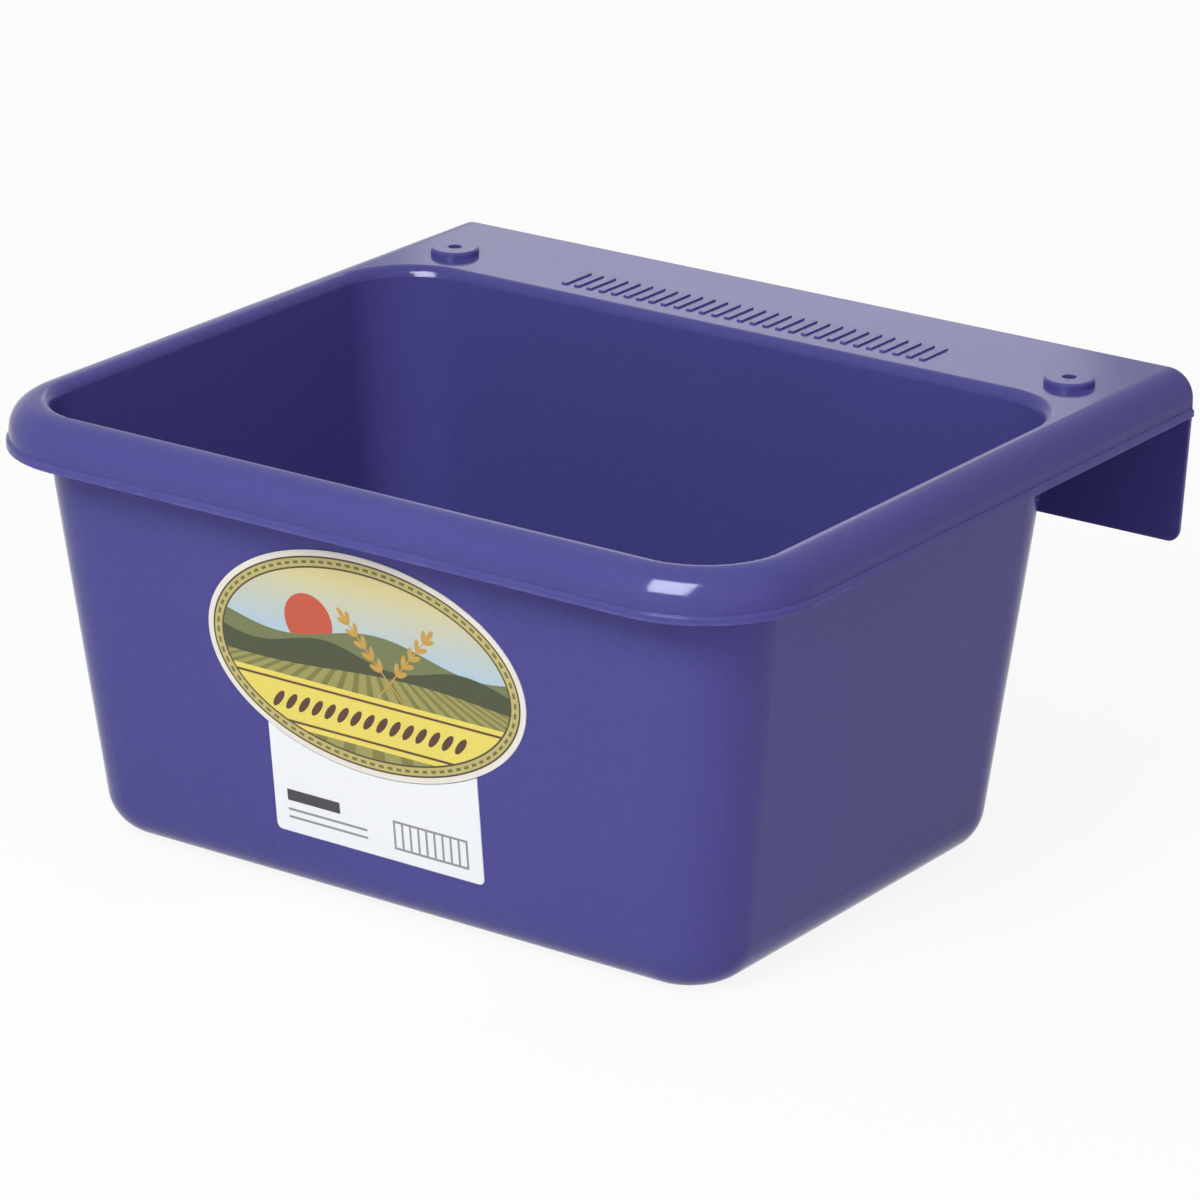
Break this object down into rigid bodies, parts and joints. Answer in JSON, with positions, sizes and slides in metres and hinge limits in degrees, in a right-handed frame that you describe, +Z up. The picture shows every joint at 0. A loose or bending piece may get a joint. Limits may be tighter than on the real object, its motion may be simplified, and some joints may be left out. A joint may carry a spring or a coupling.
{
  "type": "hook over feeder",
  "caption": "Moulded plastic trough feeder with a rolled rim and a full-width rear hook that drops over a fence rail, board or gate.",
  "frame": {"origin": "bottom centre of the overall box, on the surface that the feeder stands on", "axes": "+X along the width, to the right when seen from the front; the front wall faces -Y and the hook is at +Y; +Z up"},
  "size_m": [0.288, 0.2552, 0.1437],
  "materials": {
    "feeder_body": "smooth moulded polyethylene, satin, indigo blue",
    "picture_label": "coated printed paper sticker",
    "panel_label": "coated white paper sticker"
  },
  "bodies": {
    "root": {"feeder_body": "feeder_body", "picture_label": "picture_label", "panel_label": "panel_label"}
  },
  "joints": []
}
